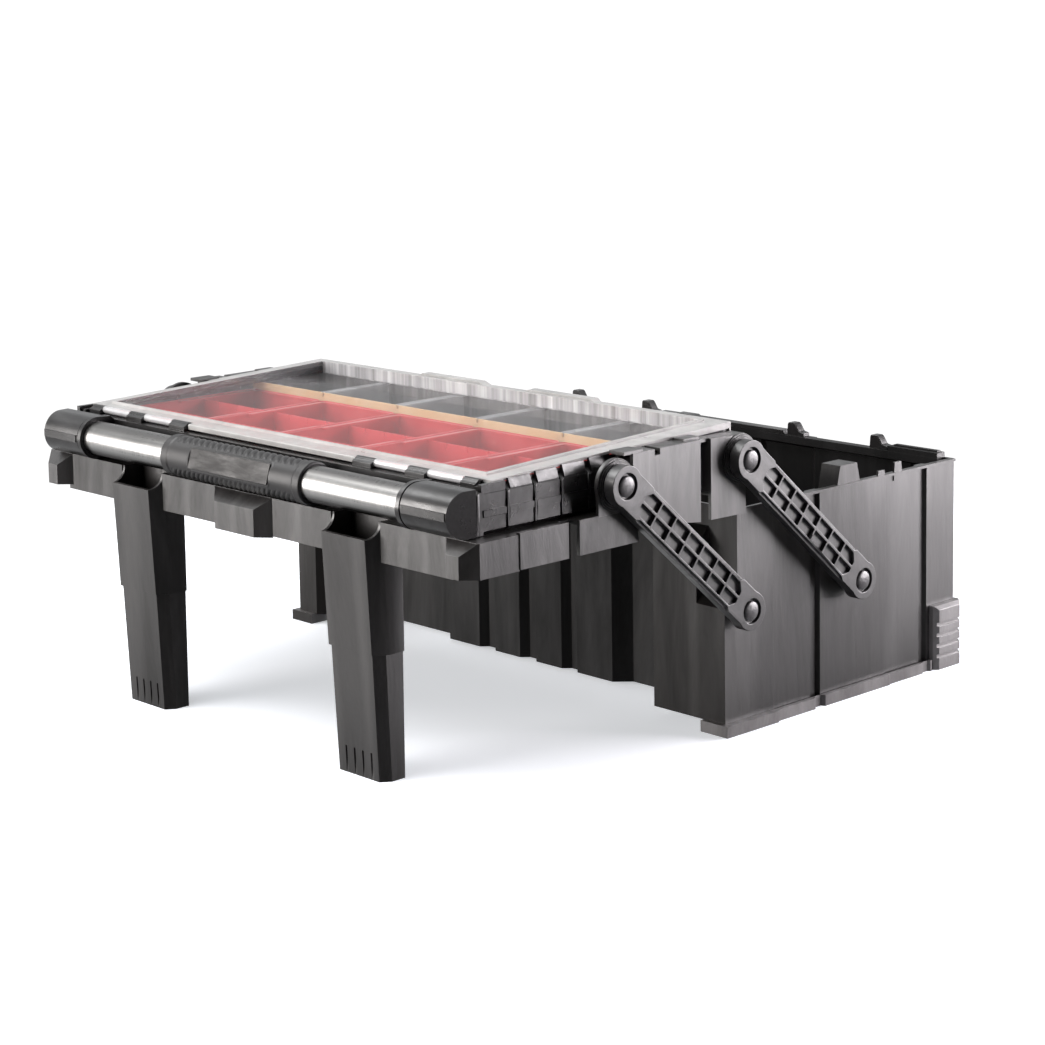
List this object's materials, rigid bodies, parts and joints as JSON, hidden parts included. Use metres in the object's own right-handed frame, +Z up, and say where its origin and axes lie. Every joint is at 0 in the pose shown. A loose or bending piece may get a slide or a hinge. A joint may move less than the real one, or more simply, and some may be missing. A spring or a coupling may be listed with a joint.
{
  "type": "cantilever tool box",
  "caption": "Cantilever tool box: a deep bin with a fluted front, and an organizer tray on lattice arms that swings forward onto two legs.",
  "frame": {"origin": "centre of the bounding box at floor level, in the stored pose with the tray forward", "axes": "+X towards the right-hand end, +Z up, -Y towards the tray and handle side"},
  "size_m": [0.585, 0.5959, 0.2544],
  "materials": {
    "housing_plastic": "moulded grey-brown plastic with flow marks, satin",
    "dark_plastic": "dark moulded plastic, satin",
    "arm_plastic": "moulded grey-brown plastic, satin",
    "clear_lid": "clear plastic with a frosted edge",
    "red_clear": "translucent red plastic",
    "grey_clear": "translucent grey plastic",
    "amber_clear": "translucent pale amber plastic",
    "tube_metal": "brushed tube",
    "grip_rubber": "moulded rubber with ridges",
    "rod_steel": "plain rod"
  },
  "bodies": {
    "bin": {"bin_shell": "housing_plastic", "base_skirt": "housing_plastic", "rear_bumper_right": "housing_plastic", "rear_bumper_left": "housing_plastic", "rear_rim_hooks": "dark_plastic", "rear_rim_cap": "dark_plastic", "lower_pivot_pins": "dark_plastic"},
    "arm_rear_right": {"arm_rear_right": "arm_plastic"},
    "arm_rear_left": {"arm_rear_left": "arm_plastic"},
    "arm_front_right": {"arm_front_right": "arm_plastic"},
    "arm_front_left": {"arm_front_left": "arm_plastic"},
    "tray": {"upper_pivot_pins": "dark_plastic", "upper_pivot_rings": "dark_plastic", "tray_frame": "housing_plastic", "end_bracket_right": "housing_plastic", "end_bracket_left": "housing_plastic", "leg_socket_right": "housing_plastic", "leg_socket_left": "housing_plastic", "leg_right": "housing_plastic", "leg_left": "housing_plastic", "organizer_case": "dark_plastic", "split_wall": "amber_clear", "compartment_dividers": "grey_clear", "hinge_knuckles": "dark_plastic", "hinge_rods": "rod_steel", "handle_tube": "tube_metal", "handle_grip": "grip_rubber", "grip_plate": "dark_plastic", "handle_cap_right": "dark_plastic", "handle_cap_left": "dark_plastic", "long_bin_1": "red_clear", "long_bin_2": "red_clear", "long_bin_3": "red_clear", "long_bin_4": "red_clear", "long_bin_5": "red_clear"},
    "lid": {"organizer_lid": "clear_lid"}
  },
  "joints": [
    {"name": "tray_swing", "type": "hinge", "parent": "bin", "child": "arm_rear_right", "pos_m": [0.2865, 0.143, 0.1035], "axis": [-1, 0, 0], "range_deg": [0, 98]},
    {"name": "tray_level", "type": "hinge", "parent": "arm_rear_right", "child": "tray", "pos_m": [0.2865, 0.002, 0.226], "axis": [-1, 0, 0], "range_deg": [-98, 0]},
    {"name": "arm_rear_left_swing", "type": "hinge", "parent": "bin", "child": "arm_rear_left", "pos_m": [-0.2865, 0.143, 0.1035], "axis": [-1, 0, 0], "range_deg": [0, 98]},
    {"name": "arm_front_right_swing", "type": "hinge", "parent": "bin", "child": "arm_front_right", "pos_m": [0.2865, 0.0015, 0.1035], "axis": [-1, 0, 0], "range_deg": [0, 98]},
    {"name": "arm_front_left_swing", "type": "hinge", "parent": "bin", "child": "arm_front_left", "pos_m": [-0.2865, 0.0015, 0.1035], "axis": [-1, 0, 0], "range_deg": [0, 98]},
    {"name": "lid_hinge", "type": "hinge", "parent": "tray", "child": "lid", "pos_m": [0, -0.252, 0.24], "axis": [1, 0, 0], "range_deg": [0, 110]}
  ],
  "couplings": [
    {"joint": "tray_level", "follows": "tray_swing", "ratio": -1},
    {"joint": "arm_rear_left_swing", "follows": "tray_swing", "ratio": 1},
    {"joint": "arm_front_right_swing", "follows": "tray_swing", "ratio": 1},
    {"joint": "arm_front_left_swing", "follows": "tray_swing", "ratio": 1}
  ]
}
